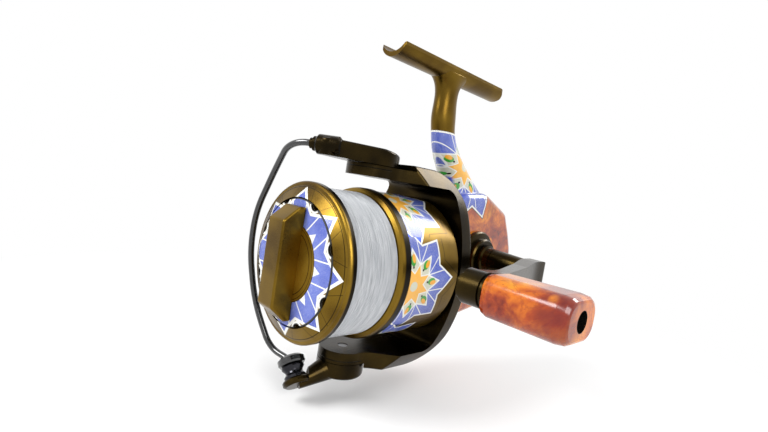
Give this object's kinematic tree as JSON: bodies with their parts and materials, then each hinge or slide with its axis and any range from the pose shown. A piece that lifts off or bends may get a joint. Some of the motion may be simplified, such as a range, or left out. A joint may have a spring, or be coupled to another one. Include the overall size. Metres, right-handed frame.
{
  "type": "spinning reel",
  "caption": "Spinning fishing reel with a skirted spool of line, a folding wire bail on a two-armed rotor, a front drag knob with a bar, a crank handle with a block grip and a long rod foot.",
  "frame": {"origin": "on the rod's axis, above the middle of the foot's trough", "axes": "+Y along the rod towards its butt, so the spool faces -Y; +Z from the reel up to the rod; +X to the side with the handle"},
  "size_m": [0.1201, 0.1294, 0.1335],
  "materials": {
    "tile_gold": "satin, patterned",
    "amber_shell": "gloss",
    "bronze": "satin anodised",
    "gold": "satin anodised",
    "black_wire": "gloss",
    "steel": "ground",
    "bearing_steel": "polished",
    "brass": "machined",
    "gear_alloy": "cast",
    "black_plastic": "matte",
    "line": "fine braid",
    "amber_resin": "polished resin",
    "dark_chrome": "polished"
  },
  "bodies": {
    "frame": {"body_housing": "tile_gold", "side_cover": "amber_shell", "cover_screws": "steel", "drive_bearing_left": "bearing_steel", "drive_bearing_right": "bearing_steel", "pinion_bearing": "bearing_steel", "bearing_retainer": "steel", "one_way_clutch": "bearing_steel", "clutch_retainer": "black_plastic", "worm_bush": "brass", "slider_rod": "steel", "drive_bearing_cap": "bronze", "handle_screw_cap": "bronze"},
    "handle": {"drive_gear": "gear_alloy", "drive_shaft": "steel", "handle_shank": "bronze", "handle_arm": "bronze", "grip_post": "steel"},
    "grip": {"handle_grip": "amber_resin", "grip_bushes": "black_plastic"},
    "rotor": {"rotor": "bronze", "rotor_nut": "brass", "pinion_gear": "brass", "clutch_sleeve": "steel", "pivot_screws": "steel", "bail_spring": "steel"},
    "worm": {"worm_shaft": "steel", "worm_gear": "brass"},
    "bail": {"bail_arm_upper": "bronze", "wire_collar": "bronze", "bail_wire": "black_wire", "bail_arm_lower": "bronze", "roller_pin": "steel", "roller_bush": "black_plastic"},
    "roller": {"line_roller": "dark_chrome"},
    "shaft": {"main_shaft": "steel", "spool_shim": "black_plastic", "slider_block": "gear_alloy", "slider_pawl": "steel", "drag_plates": "steel"},
    "spool": {"spool": "gold", "line_core": "line", "line_winding": "line", "drag_washers": "black_plastic", "click_ratchet": "black_plastic"},
    "drag_knob": {"drag_knob_disc": "gold", "drag_knob_bar": "gold", "drag_knob_plate": "gold", "drag_spring": "steel"}
  },
  "joints": [
    {"name": "handle_turn", "type": "hinge", "parent": "frame", "child": "handle", "pos_m": [0, 0.0228, -0.08273], "axis": [1, 0, 0], "continuous": true},
    {"name": "grip_spin", "type": "hinge", "parent": "handle", "child": "grip", "pos_m": [0.074, -0.0395, -0.08273], "axis": [1, 0, 0], "continuous": true},
    {"name": "rotor_spin", "type": "hinge", "parent": "frame", "child": "rotor", "pos_m": [0, -0.0032, -0.08813], "axis": [0, 1, 0], "continuous": true},
    {"name": "worm_spin", "type": "hinge", "parent": "frame", "child": "worm", "pos_m": [0.0015, 0.0228, -0.09935], "axis": [0, 1, 0], "continuous": true},
    {"name": "bail_flip", "type": "hinge", "parent": "rotor", "child": "bail", "pos_m": [0, -0.0367, -0.08813], "axis": [0, 0, 1], "range_deg": [0, 95]},
    {"name": "roller_spin", "type": "hinge", "parent": "bail", "child": "roller", "pos_m": [-0.0046, -0.0543, -0.13093], "axis": [0.7, -0.04, -0.713], "continuous": true},
    {"name": "spool_stroke", "type": "slide", "parent": "frame", "child": "shaft", "axis": [0, -1, 0], "range_m": [0, 0.016]},
    {"name": "spool_drag", "type": "hinge", "parent": "shaft", "child": "spool", "pos_m": [0, -0.0512, -0.08813], "axis": [0, 1, 0], "continuous": true},
    {"name": "drag_knob_turn", "type": "hinge", "parent": "shaft", "child": "drag_knob", "pos_m": [0, -0.0662, -0.08813], "axis": [0, 1, 0], "range_deg": [-360, 360]}
  ],
  "couplings": [
    {"joint": "rotor_spin", "follows": "handle_turn", "ratio": -4.7143},
    {"joint": "worm_spin", "follows": "handle_turn", "ratio": 1.9412}
  ]
}
